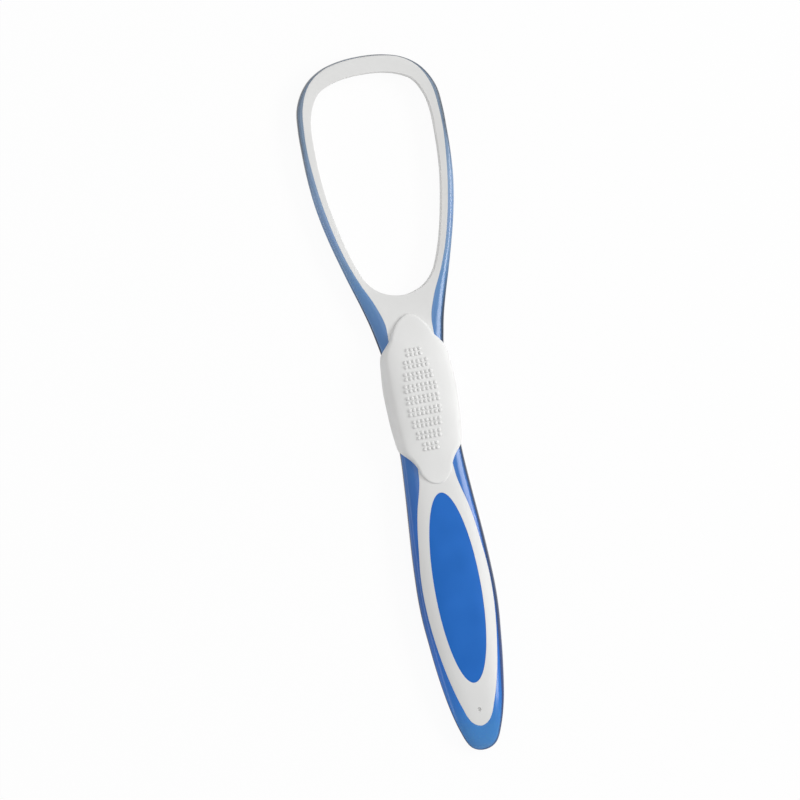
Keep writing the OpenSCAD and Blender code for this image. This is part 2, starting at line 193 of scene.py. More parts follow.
handleLength = body["handleLength"]
waistPlace = mix(handleLength, rimStart, 0.5)
outerKnots = (
    [(x * handleHalf, y * handleLength) for x, y in tailShares]
    + [(mix(handleHalf, waistHalf, x), y * handleLength) for x, y in taperShares]
    + [(waistHalf, waistPlace)]
    + [(mix(waistHalf, loopHalf, x), mix(rimStart, body["length"], y)) for x, y in flareShares]
    + [(x * loopHalf, mix(rimStart, body["length"], y)) for x, y in tipShares]
)
coreKnots = (
    [(x * insertHalf, mix(body["tailWall"], body["bellyShare"] * handleLength, y)) for x, y in insertShares]
    + [(mix(insertHalf, stemHalf, x), y * handleLength) for x, y in shoulderShares]
    + [(mix(stemHalf, neckHalf, 0.5), waistPlace)]
    + [(mix(neckHalf, ringHalf, x), mix(rimStart, body["length"], y)) for x, y in ringShares]
    + [(x * ringHalf, mix(rimStart, ringTip, y)) for x, y in ringTipShares]
)
sleeveLow, sleeveHigh = handleLength - body["sleeveDown"], handleLength + body["sleeveUp"]
sleeveKnots = (
    [(x * sleeveHalf, mix(handleLength, sleeveLow, y)) for x, y in sleeveDownShares]
    + [(x * sleeveHalf, mix(handleLength, sleeveHigh, y)) for x, y in sleeveUpShares]
)
outerLoop = smoothLoop(outerKnots)
coreLoop = smoothLoop(coreKnots)
holeLoop = smoothLoop([(x * holeHalf, mix(forkAt, holeTip, y)) for x, y in holeShares])
sleeveLoop = smoothLoop(sleeveKnots)

# Heights of the front and of the back along the object
frontLine = heightCurve(
    [(y * handleLength, z * body["handleDepth"]) for y, z in
     [(0, 0.3), (0.012, 0.46), (0.042, 0.62), (0.095, 0.75), (0.19, 0.88), (0.315, 0.965), (0.44, 1)]]
    + [(y * handleLength, mix(body["handleDepth"], body["waistDepth"], z)) for y, z in
       [(0.57, 0.1), (0.694, 0.4), (0.82, 0.72), (1, 1)]]
    + [(handleLength + y * body["headLength"],
        mix(body["waistDepth"], body["loopLift"] + body["loopDepth"], z)) for y, z in
       [(0.133, 0.35), (0.233, 0.6), (0.39, 0.85), (0.61, 1), (1.1, 1)]]
)
backLine = heightCurve(
    [(y * handleLength, z * body["handleDepth"]) for y, z in
     [(0, 0.2), (0.012, 0.1), (0.042, 0.02), (0.08, 0), (1, 0)]]
    + [(handleLength + y * body["headLength"], z * body["loopLift"]) for y, z in
       [(0.19, 0), (0.33, 0.7), (0.5, 1), (1.1, 1)]]
)


def halfWidth(along):
    right = rightOf(outerLoop)
    return np.interp(along, right[:, 1], right[:, 0])


pointsAtOnce = 1500  # a limit that keeps the arrays small


def edgeDistance(points):
    # how far each point lies from the outer outline
    start, end = outerLoop, np.roll(outerLoop, -1, 0)
    run = end - start
    lengths = (run**2).sum(1)
    nearest = []
    for chunk in np.array_split(points, max(1, len(points) // pointsAtOnce)):
        gap = chunk[:, None] - start[None]
        t = np.clip((gap * run).sum(2) / lengths, 0, 1)
        nearest.append(np.linalg.norm(gap - t[..., None] * run, axis=2).min(1))
    return np.concatenate(nearest)


# How steeply the crown of the front starts at the outer edge: round on the handle and on the loop's arms
crownSlope = heightCurve([(0, 0.9), (22, 0.95), (42, 0.83), (50, 0.77), (58, 0.72), (66, 0.74), (74, 0.74),
                          (80, 0.66), (108, 0.7), (116, 0.72), (124, 0.88), (131, 1.2), (150, 1.35),
                          (160, 0.35), (185, 0.35)])
# How wide its small outer edge is: wide where the blue beside the white is only a narrow wall
edgeWidth = heightCurve([(0, 0.9), (14, 1.15), (26, 1.3), (50, 1.3), (62, 1.05), (74, 1.0), (112, 0.95),
                         (122, 0.85), (132, 0.7), (185, 0.62)])
# Height of the widest line, as a share of the thickness
sideShare = heightCurve([(0, 0.6), (10, 0.58), (22, 0.47), (80, 0.47), (110, 0.57), (122, 0.6), (150, 0.58),
                         (164, 0.38), (185, 0.38)])
frontShape = {
    "power": 3.3,  # the higher, the flatter the crown's middle
    "leastReach": 3,
    "loopReach": 2.4,
    "mostRise": 0.85,  # the crown takes at most this share of the height over the widest line
    "loopBlend": (102, 134),  # the handle's section turns into the loop's over this stretch
}
backShape = {"handleRound": 3.2, "loopRound": 1.3, "loopBlend": (100, 134)}


def sideHeight(along):
    return mix(backLine(along), frontLine(along), sideShare(along))


def frontHeight(points):
    # a small round edge up from the widest line, which runs on into a wide crown
    along = points[:, 1]
    top, rise = frontLine(along), frontLine(along) - sideHeight(along)
    power = frontShape["power"]
    handleReach = np.maximum(halfWidth(along), frontShape["leastReach"])
    reach = mix(handleReach, frontShape["loopReach"], eased(*frontShape["loopBlend"], along))
    crown = np.minimum(crownSlope(along) * reach / power, frontShape["mostRise"] * rise)
    away = edgeDistance(points)
    q, edge = np.minimum(1, away / reach), np.minimum(1, away / edgeWidth(along))
    return top - crown * (1 - q) ** power - (rise - crown) * (1 - np.sqrt(1 - (1 - edge) ** 2))


def backHeight(points):
    along = points[:, 1]
    width = mix(backShape["handleRound"], backShape["loopRound"], eased(*backShape["loopBlend"], along))
    q = np.minimum(1, edgeDistance(points) / width)
    height = mix(sideHeight(along), backLine(along), np.sqrt(1 - (1 - q) ** 2))
    return np.maximum(height, body["backLift"])


def inset(loop, distance):
    # moves a closed line inward, the same way all along
    run = np.roll(loop, -1, 0) - np.roll(loop, 1, 0)
    run /= np.linalg.norm(run, axis=1)[:, None]
    return loop + distance * np.stack([-run[:, 1], run[:, 0]], 1)


def spread(line, count):
    # count points at even steps along an open line, its end left out
    reach = np.concatenate([[0], np.cumsum(np.linalg.norm(np.diff(line, axis=0), axis=1))])
    steps = np.linspace(0, reach[-1], count + 1)[:-1]
    return np.stack([np.interp(steps, reach, line[:, k]) for k in (0, 1)], 1)


def splitLine(right, places, counts):
    # cuts a right half at places along the object and spreads points over each stretch, then mirrors it
    pieces, start = [], 0
    stops = [int(np.argmax(right[:, 1] >= place)) for place in places] + [len(right) - 1]
    for stop, count in zip(stops, counts):
        pieces.append(spread(right[start:stop + 1], count))
        start = stop
    half = np.vstack(pieces + [right[-1:]])
    return np.vstack([half, half[-2:0:-1] * [-1, 1]])


def lift(points, height):
    return np.column_stack([points, np.broadcast_to(height, len(points))])


def skin(name, rings, closed=False):
    # a mesh through rings of as many points each, in millimetres from the tail
    count = len(rings[0])
    verts = np.vstack(rings)
    verts = (verts - [0, body["length"] / 2, 0]) * mm
    faces = []
    total = len(rings) if closed else len(rings) - 1
    for r in range(total):
        low, high = r * count, (r + 1) % len(rings) * count
        for i in range(count):
            j = (i + 1) % count
            faces.append((low + i, low + j, high + j, high + i))
    if not closed:
        faces.append(tuple(range(count))[::-1])
        faces.append(tuple(range((len(rings) - 1) * count, len(rings) * count)))
    mesh = bpy.data.meshes.new(name)
    mesh.from_pydata([tuple(v) for v in verts], [], faces)
    mesh.update()
    return mesh


mergeDistance = 0.002 * mm
hardAngle = math.radians(50)


def finishMesh(mesh):
    # merges what coincides, turns the faces outward and shades them smooth, with hard hidden corners
    bm = bmesh.new()
    bm.from_mesh(mesh)
    bmesh.ops.remove_doubles(bm, verts=bm.verts, dist=mergeDistance)
    bmesh.ops.recalc_face_normals(bm, faces=bm.faces)
    for face in bm.faces:
        face.smooth = True
    for edge in bm.edges:
        if len(edge.link_faces) == 2 and edge.calc_face_angle(0) > hardAngle:
            edge.smooth = False
    bm.to_mesh(mesh)
    bm.free()


def addPiece(name, mesh, slot, material, *nodes):
    finishMesh(mesh)
    piece = bpy.data.objects.new(name, mesh)
    bpy.context.scene.collection.objects.link(piece)
    mesh.materials.clear()
    mesh.materials.append(material)
    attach(piece, "root")
    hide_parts(*nodes)
    return piece


def linear(hexColor):
    # an sRGB hex colour as Blender's linear colour
    values = [int(hexColor[i:i + 2], 16) / 255 for i in (1, 3, 5)]
    return [v / 12.92 if v <= 0.04045 else ((v + 0.055) / 1.055) ** 2.4 for v in values] + [1]


def addNode(tree, kind, settings=None, links=None):
    # one node with its settings, and its inputs given as values or as sockets
    node = tree.nodes.new(kind)
    for key, value in (settings or {}).items():
        setattr(node, key, value)
    for key, value in (links or {}).items():
        if isinstance(value, bpy.types.NodeSocket):
            tree.links.new(value, node.inputs[key])
        else:
            node.inputs[key].default_value = value
    return node


def startMaterial(name):
    material = bpy.data.materials.new(name)
    material.use_nodes = True
    material.node_tree.nodes.clear()
    return material, material.node_tree


def objectPlace(tree):
    return addNode(tree, "ShaderNodeTexCoord").outputs["Object"]


def endMaterial(tree, color, roughness, normal, settings):
    shader = addNode(tree, "ShaderNodeBsdfPrincipled", None,
                     {"Base Color": color, "Roughness": roughness, "Normal": normal, **settings})
    addNode(tree, "ShaderNodeOutputMaterial", None, {"Surface": shader.outputs["BSDF"]})


def mouldTexture(tree, place, grainMm, depthMm, waveMm, waveDepthMm):
    # the mould's fine grain over the slow unevenness of thick moulded plastic; the real grain, of about
    # 0.05 to 0.1 mm, is too fine to show, so it is drawn 0.3 to 0.4 mm coarse
    grain = addNode(tree, "ShaderNodeTexNoise", None,
                    {"Vector": place, "Scale": 1 / (grainMm * mm), "Detail": 3.0, "Roughness": 0.6})
    wave = addNode(tree, "ShaderNodeTexNoise", None,
                   {"Vector": place, "Scale": 1 / (waveMm * mm), "Detail": 1.0, "Roughness": 0.4})
    low = addNode(tree, "ShaderNodeBump", None,
                  {"Height": wave.outputs["Fac"], "Distance": waveDepthMm * mm, "Strength": 1.0})
    high = addNode(tree, "ShaderNodeBump", None,
                   {"Height": grain.outputs["Fac"], "Distance": depthMm * mm, "Strength": 1.0,
                    "Normal": low.outputs["Normal"]})
    return high.outputs["Normal"], grain.outputs["Fac"], wave.outputs["Fac"]


noiseLow, noiseHigh = 0.3, 0.7  # most of a noise lies between these


def varied(tree, factor, low, high):
    ranged = addNode(tree, "ShaderNodeMapRange", None,
                     {"Value": factor, "From Min": noiseLow, "From Max": noiseHigh,
                      "To Min": low, "To Max": high})
    return ranged.outputs["Result"]


def tinted(tree, factor, colors):
    ramp = addNode(tree, "ShaderNodeValToRGB", None, {"Fac": factor})
    stops = ramp.color_ramp.elements
    while len(stops) < len(colors):
        stops.new(0.5)
    for stop, (where, hexColor) in zip(stops, colors):
        stop.position = where
        stop.color = linear(hexColor)
    return ramp.outputs["Color"]


def mouldedPolypropylene():
    # injection-moulded white polypropylene: a satin, faintly waxy white that lets a little light in
    material, tree = startMaterial("mouldedPolypropylene")
    normal, grain, wave = mouldTexture(tree, objectPlace(tree),
                                       grainMm=0.35, depthMm=0.004, waveMm=14, waveDepthMm=0.04)
    color = tinted(tree, wave, [(0.35, "#DCDCDB"), (0.65, "#DFDFDE")])
    endMaterial(tree, color, varied(tree, grain, 0.4, 0.48), normal,
                {"IOR": 1.49, "Specular IOR Level": 0.32, "Subsurface Weight": 0.12,
                 "Subsurface Radius": (1, 1, 1), "Subsurface Scale": 0.8 * mm})
    return material


def softWhiteElastomer():
    # thermoplastic elastomer from a spark-eroded mould: a dry, matt white that feels soft
    material, tree = startMaterial("softWhiteElastomer")
    normal, grain, wave = mouldTexture(tree, objectPlace(tree),
                                       grainMm=0.3, depthMm=0.008, waveMm=9, waveDepthMm=0.03)
    color = tinted(tree, wave, [(0.35, "#E2E2E1"), (0.65, "#E5E5E4")])
    endMaterial(tree, color, varied(tree, grain, 0.58, 0.68), normal,
                {"IOR": 1.48, "Specular IOR Level": 0.4, "Subsurface Weight": 0.15,
                 "Subsurface Radius": (1, 1, 1), "Subsurface Scale": 0.8 * mm})
    return material


def clearBlueElastomer():
    # part-clear blue elastomer from a polished mould: glossy, deep blue on the thick handle,
    # paler and greyer along the thin band round the loop, with painted shade darkening its outer edge, most
    # on the right
    material, tree = startMaterial("clearBlueElastomer")
    place = objectPlace(tree)
    normal, grain, wave = mouldTexture(tree, place, grainMm=0.4, depthMm=0.0015, waveMm=12, waveDepthMm=0.03)
    along = addNode(tree, "ShaderNodeSeparateXYZ", None, {"Vector": place}).outputs["Y"]
    half = body["length"] / 2 * mm
    share = addNode(tree, "ShaderNodeMapRange", None,
                    {"Value": along, "From Min": -half, "From Max": half}).outputs["Result"]
    deep = tinted(tree, share, [(0, "#4089CC"), (0.035, "#3480C8"), (0.07, "#1875CE"), (0.135, "#0C6BCC"),
                                (0.23, "#0C5AAA"), (0.32, "#1B67C0"), (0.4, "#2C6DB9"), (0.6, "#527FB6"),
                                (0.67, "#5F8BBC"), (0.71, "#7193BA"), (0.76, "#7897C2"), (0.81, "#829FC4"),
                                (0.89, "#6F88A4"), (1, "#7C8A9C")])
    cloudy = addNode(tree, "ShaderNodeMix", {"data_type": "RGBA", "blend_type": "MULTIPLY"},
                     {0: 1.0, 6: deep, 7: tinted(tree, wave, [(0.3, "#F4F4F4"), (0.7, "#FFFFFF")])})
    # painted shade: this attribute multiplies the blue by the dark shade colours below along its outer edge
    edge = addNode(tree, "ShaderNodeAttribute", {"attribute_name": "paintedEdgeShade"}).outputs["Fac"]
    shade = tinted(tree, share, [(0.09, "#4A6A86"), (0.2, "#5E666A")])
    edged = addNode(tree, "ShaderNodeMix", {"data_type": "RGBA", "blend_type": "MULTIPLY"},
                    {0: edge, 6: cloudy.outputs[2], 7: shade})
    endMaterial(tree, edged.outputs[2], varied(tree, grain, 0.12, 0.16), normal,
                {"IOR": 1.46, "Subsurface Weight": 0.2, "Subsurface Radius": (0.5, 0.8, 1.4),
                 "Subsurface Scale": 0.5 * mm})
    return material


def mattBlueElastomer():
    # solid blue elastomer from a textured mould: matt, even and strong in colour
    material, tree = startMaterial("mattBlueElastomer")
    normal, grain, wave = mouldTexture(tree, objectPlace(tree),
                                       grainMm=0.32, depthMm=0.007, waveMm=8, waveDepthMm=0.03)
    color = tinted(tree, wave, [(0.3, "#1864B9"), (0.7, "#1E69C0")])
    endMaterial(tree, color, varied(tree, grain, 0.5, 0.6), normal,
                {"IOR": 1.48, "Specular IOR Level": 0.2, "Subsurface Weight": 0.1,
                 "Subsurface Radius": (0.4, 0.7, 1.2), "Subsurface Scale": 0.5 * mm})
    return material


whiteHard = mouldedPolypropylene()
whiteSoft = softWhiteElastomer()
blueClear = clearBlueElastomer()
blueMatt = mattBlueElastomer()
print("materials made")

edgeSteps = [0, 0.08, 0.25, 0.5, 0.75, 1]
# Painted shade along the blue's outer edge, wider and stronger on the right where the light comes from: how
# wide it is at the left and at the right, and how strong along the object
paintedEdgeShade = {
    "left": heightCurve([(0, 0.25), (14, 0.14), (74, 0.14), (110, 0.3), (185, 0.3)]),
    "right": heightCurve([(0, 0.5), (10, 0.8), (22, 1.35), (52, 1.35), (62, 1.1), (74, 1.05), (112, 1.0),
                          (122, 0.8), (134, 0.6), (156, 0.6), (164, 1.0), (185, 0.5)]),
    "strength": heightCurve([(0, 0.75), (8, 1), (20, 0.95), (42, 0.88), (60, 1), (74, 1), (114, 1),
                             (120, 0.85), (128, 0.3), (150, 0.15), (158, 0.6), (166, 0.85), (185, 0.7)]),
    "blend": 1.5,  # the left's width turns into the right's this far to each side of the middle
    "fade": (0.65, 1.05),  # shares of its width
    "below": (0.1, 1.5),  # below the widest line it fades from here to here
    "belowLoss": 0.92,
}


def rounded(step, radius):
    # how far a round edge has dropped at a share of its radius from the rim
    return radius * (1 - math.sqrt(1 - (1 - step) ** 2))


def paintEdgeShade(mesh):
    # writes the painted shade along the outer edge as an attribute of the points, wider on the lit right
    # side, fading down the sides
    places = np.array([vert.co[:] for vert in mesh.vertices]) / mm + [0, body["length"] / 2, 0]
    flat, along = places[:, :2], places[:, 1]
    blend = paintedEdgeShade["blend"]
    width = mix(paintedEdgeShade["left"](along), paintedEdgeShade["right"](along), eased(-blend, blend, places[:, 0]))
    line = 1 - eased(*paintedEdgeShade["fade"], edgeDistance(flat) / width)
    below = eased(*paintedEdgeShade["below"], sideHeight(along) - places[:, 2])
    values = paintedEdgeShade["strength"](along) * line * (1 - paintedEdgeShade["belowLoss"] * below)
    mesh.attributes.new("paintedEdgeShade", "FLOAT", "POINT").data.foreach_set("value", values.astype(np.float32))


# Blue shell round the handle, with the pocket that holds the white inlay
shell = {
    "end": 86.0,
    "endRun": 0.01,  # the straight end is told apart this far before it
    "floor": 2.9,
    "counts": [190, 14],  # points along a side, and across half of the end
    "backInsets": [3.2, 2.6, 2.0, 1.4, 0.9, 0.5, 0.22, 0.06],
    "frontShares": [0.004, 0.015, 0.04, 0.08, 0.14, 0.22, 0.31, 0.41, 0.52, 0.64, 0.76, 0.88],
}


def cutOff(right, end):
    # a right half from its start to a straight end across the object
    kept = right[right[:, 1] < end]
    corner = [np.interp(end, right[:, 1], right[:, 0]), end]
    return np.vstack([kept, corner, [0, end]])


def makeHandleShell():
    places = [shell["end"] - shell["endRun"]]
    outer = splitLine(cutOff(rightOf(outerLoop), shell["end"]), places, shell["counts"])
    seam = splitLine(cutOff(rightOf(coreLoop), shell["end"]), places, shell["counts"])
    back = [inset(outer, distance) for distance in shell["backInsets"]]
    rings = [lift(p, backHeight(p)) for p in back]
    rings.append(lift(outer, sideHeight(outer[:, 1])))
    lip = inset(seam, -body["seam"])
    rings += [lift(mix(outer, lip, t), frontHeight(mix(outer, lip, t))) for t in shell["frontShares"]]
    for step in edgeSteps[::-1]:
        p = mix(seam, lip, step)
        rings.append(lift(p, frontHeight(p) - rounded(step, body["seam"])))
    rings.append(lift(seam, shell["floor"]))
    piece = addPiece("handleShell", skin("handleShell", rings), "blue_shell", blueClear, "handle_shell")
    # paints shade along the shell's outer edge
    paintEdgeShade(piece.data)


makeHandleShell()
print("handle shell made")

# White core: the inlay with its recess for the oval, and the neck with the scraping ring
core = {
    "end": 88.0,
    "base": 3.0,
    "recessFloor": 5.0,
    "edge": 0.016,
    "neckFrom": 98.0,
    "dip": 0.24,  # the ring falls this much towards its hole
    "holeEdge": 0.1,
    "holeDraft": 0.05,  # how much narrower the hole is at the back, so that its wall shows
}
# Places along both lines of a band between which the same number of points lie, so that its faces don't slant
inlay = {
    "outlineSplits": [13, 29, 43, 57, 72],
    "recessSplits": [19.4, 30.6, 43.2, 55.9, 67.0],
    "counts": [30, 34, 26, 26, 36, 46],
    "rings": 26,
}
scrapingRing = {
    "outlineSplits": [116, 127, 145, 163, 174],
    "holeSplits": [123.0, 130.0, 146, 162.5, 171.5],
    "counts": [52, 26, 40, 44, 30, 44],
    "frontRings": 22,
    "backRings": 16,
}
gate = {
    "at": 10.8,
    "radius": 0.6,
    "depth": 0.6,
    "slope": (0.5, 1.0),  # shares of the radius between which its wall rises
    "patches": (1.7, 1.1),  # reach of the finer faces round it
    "setShare": 1.7,  # faces are set to the front's height within this many radii
}
oval = {
    "at": 0.455 * handleLength,
    "half": insertHalf - 3.0,  # the white ring beside it is this wide
    "length": 50.6,
    "sink": 0.06,
    "edge": 0.02,
    "gap": 0.004,
    "floorGap": 0.05,
    "splits": [30.6, 43.2, 55.9],
    "counts": [60, 50, 50, 60],
    "innermost": 0.04,
    "rings": 20,
}


def ovalRight(grow=0.0):
    turns = np.linspace(-math.pi / 2, math.pi / 2, 400)
    return np.stack([(oval["half"] + grow) * np.cos(turns),
                     oval["at"] + (oval["length"] / 2 + grow) * np.sin(turns)], 1)


def markGate(mesh):
    # a finer patch with the small dent that the moulding gate leaves
    centre = Vector((0, (gate["at"] - body["length"] / 2) * mm))
    lowest = (core["base"] + 1) * mm  # only the front has a mark
    bm = bmesh.new()
    bm.from_mesh(mesh)

    def away(vert):
        return (vert.co.xy - centre).length / mm

    for reach in gate["patches"]:
        top = [edge for edge in bm.edges if all(away(v) < reach and v.co.z > lowest for v in edge.verts)]
        bmesh.ops.subdivide_edges(bm, edges=top, cuts=2, use_grid_fill=True)
    for vert in bm.verts:
        share = away(vert) / gate["radius"]
        if share < gate["setShare"] and vert.co.z > lowest:
            spot = np.array([[vert.co.x / mm, vert.co.y / mm + body["length"] / 2]])
            dent = gate["depth"] * (1 - eased(*gate["slope"], share))
            vert.co.z = (frontHeight(spot)[0] - float(dent)) * mm
    bm.to_mesh(mesh)
    bm.free()


def makeInlay():
    right = cutOff(rightOf(coreLoop), core["end"])
    outline = splitLine(right, inlay["outlineSplits"], inlay["counts"])
    recess = splitLine(ovalRight(), inlay["recessSplits"], inlay["counts"])
    rings = [lift(outline, core["base"])]
    for step in edgeSteps:
        p = inset(outline, step * core["edge"])
        rings.append(lift(p, frontHeight(p) - rounded(step, core["edge"])))
    first, last = inset(outline, core["edge"]), inset(recess, -core["edge"])
    for t in np.linspace(0, 1, inlay["rings"])[1:-1]:
        p = mix(first, last, t)
        rings.append(lift(p, frontHeight(p)))
    for step in edgeSteps[::-1]:
        p = inset(recess, -step * core["edge"])
        rings.append(lift(p, frontHeight(p) - rounded(step, core["edge"])))
    rings.append(lift(recess, core["recessFloor"]))
    mesh = skin("inlay", rings)
    markGate(mesh)
    return mesh


def makeScrapingRing():
    right = rightOf(coreLoop)
    low = core["neckFrom"]
    start = [[0, low], [np.interp(low, right[:, 1], right[:, 0]), low]]
    right = np.vstack([start, right[right[:, 1] > low]])
    outline = splitLine(right, scrapingRing["outlineSplits"], scrapingRing["counts"])
    hole = splitLine(rightOf(holeLoop), scrapingRing["holeSplits"], scrapingRing["counts"])
    rings = []

    def top(p, t):
        return frontHeight(p) - core["dip"] * t

    for step in edgeSteps:
        p = inset(outline, step * core["edge"])
        rings.append(lift(p, top(p, 0) - rounded(step, core["edge"])))
    first, last = inset(outline, core["edge"]), inset(hole, -core["holeEdge"])
    for t in np.linspace(0, 1, scrapingRing["frontRings"])[1:-1]:
        p = mix(first, last, t)
        rings.append(lift(p, top(p, t)))
    for step in edgeSteps[::-1]:
        p = inset(hole, -step * core["holeEdge"])
        rings.append(lift(p, top(p, 1) - rounded(step, core["holeEdge"])))
    back = inset(hole, core["holeDraft"])
    for step in edgeSteps:
        p = inset(back, -step * core["holeEdge"])
        rings.append(lift(p, backHeight(p) + rounded(step, core["holeEdge"])))
    last = inset(back, -core["holeEdge"])
    for t in np.linspace(1, 0, scrapingRing["backRings"])[1:-1]:
        p = mix(outline, last, t)
        rings.append(lift(p, backHeight(p)))
    rings.append(lift(outline, backHeight(outline)))
    return skin("scrapingRing", rings, closed=True)


def joinMeshes(name, meshes):
    bm = bmesh.new()
    for mesh in meshes:
        finishMesh(mesh)
        bm.from_mesh(mesh)
    joined = bpy.data.meshes.new(name)
    bm.to_mesh(joined)
    bm.free()
    return joined


addPiece("scraperCore", joinMeshes("scraperCore", [makeInlay(), makeScrapingRing()]), "white_core", whiteHard,
         "scraper_frame")
print("white core made")


# Blue oval in the handle
def makeOval():
    outline = splitLine(ovalRight(-oval["gap"]), oval["splits"], oval["counts"])
    rings = [lift(outline, core["recessFloor"] + oval["floorGap"])]
    for step in edgeSteps:
        p = inset(outline, step * oval["edge"])
        rings.append(lift(p, frontHeight(p) - oval["sink"] - rounded(step, oval["edge"])))
    inner = inset(outline, oval["edge"])
    centre = np.array([0, oval["at"]])
    for k in np.linspace(1, oval["innermost"], oval["rings"])[1:]:
        p = centre + (inner - centre) * k
        rings.append(lift(p, frontHeight(p) - oval["sink"]))
    addPiece("ovalGrip", skin("ovalGrip", rings), "blue_oval", blueMatt, "oval_grip")


makeOval()
print("oval made")

# Blue rim round the loop: index for index between the outer outline and the ring's outline
rim = {
    "root": 0.35,  # how far it reaches into the ring
    "seamShare": 0.4,  # its seam's rounding takes at most this share of its width
    "shares": [0.004, 0.015, 0.04, 0.08, 0.14, 0.22, 0.32, 0.44, 0.58, 0.72, 0.86, 1],
    "frontSeam": (0.6, 0.3, 0.1, 0),
    "backSeam": (0, 0.3, 1),
}


def makeRim():
    headKnots = 1 + len(flareShares) + len(tipShares)
    outerFrom, coreFrom = (len(outerKnots) - headKnots) * loopSteps, (len(coreKnots) - headKnots) * loopSteps
    outer = outerLoop[outerFrom:len(outerLoop) - outerFrom + 1]
    seam = coreLoop[coreFrom:len(coreLoop) - coreFrom + 1]
    gap = np.linalg.norm(seam - outer, axis=1)[:, None]
    toward = (seam - outer) / gap
    lip = seam - toward * np.minimum(body["seam"], gap * rim["seamShare"])
    lines = [lift(outer, sideHeight(outer[:, 1]))]
    lines += [lift(mix(outer, lip, t), frontHeight(mix(outer, lip, t))) for t in rim["shares"]]
    for step in rim["frontSeam"]:
        p = mix(seam, lip, step)
        lines.append(lift(p, frontHeight(p) - rounded(step, body["seam"])))
    root = seam + toward * rim["root"]
    lines.append(lift(root, sideHeight(root[:, 1])))
    for step in rim["backSeam"]:
        p = mix(seam, lip, step)
        lines.append(lift(p, backHeight(p) + rounded(step, body["seam"])))
    lines += [lift(mix(outer, lip, t), backHeight(mix(outer, lip, t))) for t in rim["shares"][::-1]]
    sections = list(np.stack(lines, 1))
    piece = addPiece("loopRim", skin("loopRim", sections), "blue_rim", blueClear, "loop_rim")
    # paints shade along the rim's outer edge
    paintEdgeShade(piece.data)


makeRim()
print("rim made")

# White thumb sleeve over the waist
sleeve = {
    "depth": 9.2,
    "leaf": 0.4,  # its edge at the noses, above what it lies on
    "fall": 1.84,  # how far the crown has dropped at the sides
    "fallPower": 2.9,
    "sideAt": 3.0,  # height of its widest line
    "fullness": 4.2,  # the higher, the later its front turns down into the sides
    "backEdge": 1.1,
    "humpPower": 1.5,
    "tuck": 0.05,  # its edge starts this far below what it lies on
    "turnLeast": 0.3,  # the turn into the sides is this wide,
    "turnRise": 0.6,  # and wider by this share of its height
    "risePasses": 90,
    "turnPasses": 70,
    "splits": [74, 80, 88, 95, 104, 111],
    "counts": [34, 30, 26, 22, 28, 28, 30],
    "backSteps": (1, 0.8, 0.55, 0.3, 0.12, 0.03, 0),
    "turnSteps": (0, 0.01, 0.03, 0.07, 0.13, 0.2, 0.3, 0.42, 0.55, 0.7, 0.85, 1),
    "crownShares": [0.985, 0.965, *np.linspace(0.94, 0.03, 30)],
}


def noseShare(along):
    reach = np.where(along < handleLength, handleLength - sleeveLow, sleeveHigh - handleLength)
    return np.minimum(1, np.abs(along - handleLength) / reach)


def sleeveHeight(points):
    # the crown: highest at the middle, thinning to a leaf at both noses, and round across
    across, along = points[:, 0], points[:, 1]
    most = sleeve["depth"] - body["waistDepth"] - sleeve["leaf"]
    hump = most * (1 - noseShare(along) ** 2) ** sleeve["humpPower"]
    fall = sleeve["fall"] * np.abs(across / sleeveHalf) ** sleeve["fallPower"]
    return frontLine(along) + sleeve["leaf"] + hump - fall


def softened(values, passes):
    # a closed line of values with its jumps evened out
    for _ in range(passes):
        values = (np.roll(values, 1, 0) + 2 * values + np.roll(values, -1, 0)) / 4
    return values


def makeSleeve():
    outline = splitLine(rightOf(sleeveLoop), sleeve["splits"], sleeve["counts"])
    under = np.maximum(frontHeight(outline) - sleeve["tuck"], sleeve["sideAt"])
    low = np.where(np.abs(outline[:, 0]) < halfWidth(outline[:, 1]), under, sleeve["sideAt"])
    rise = sleeveHeight(outline) - low
    even = softened(rise, sleeve["risePasses"])
    turnWidth = sleeve["turnLeast"] + sleeve["turnRise"] * even
    inner = softened(inset(outline, turnWidth[:, None]), sleeve["turnPasses"])
    rings = []
    for step in sleeve["backSteps"]:
        p = inset(outline, step * sleeve["backEdge"])
        rings.append(lift(p, sleeve["sideAt"] * rounded(step, 1)))
    for step in sleeve["turnSteps"]:
        p = mix(outline, inner, step)
        turn = 1 - math.sqrt(1 - (1 - step) ** sleeve["fullness"])
        rings.append(lift(p, sleeveHeight(p) - mix(rise, even, step) * turn))
    centre = np.array([0, handleLength])
    for k in sleeve["crownShares"]:
        p = centre + (inner - centre) * k
        rings.append(lift(p, sleeveHeight(p)))
    addPiece("thumbSleeve", skin("thumbSleeve", rings), "white_sleeve", whiteSoft, "thumb_sleeve")


makeSleeve()
print("sleeve made")

# Grip dots: nine groups of two rows, set by Geometry Nodes on points of the sleeve
dots = {
    "width": 1.1,
    "height": 0.42,
    "pitch": 1.13,
    "rowPitch": 1.24,
    "groupPitch": 3.12,
    "middle": handleLength - 1.45,
    "across": -0.5,  # the pattern lies a little to the left
    "counts": [4, 6, 7, 8, 8, 8, 7, 6, 4],
    "segments": 10,
    "rings": 6,
}


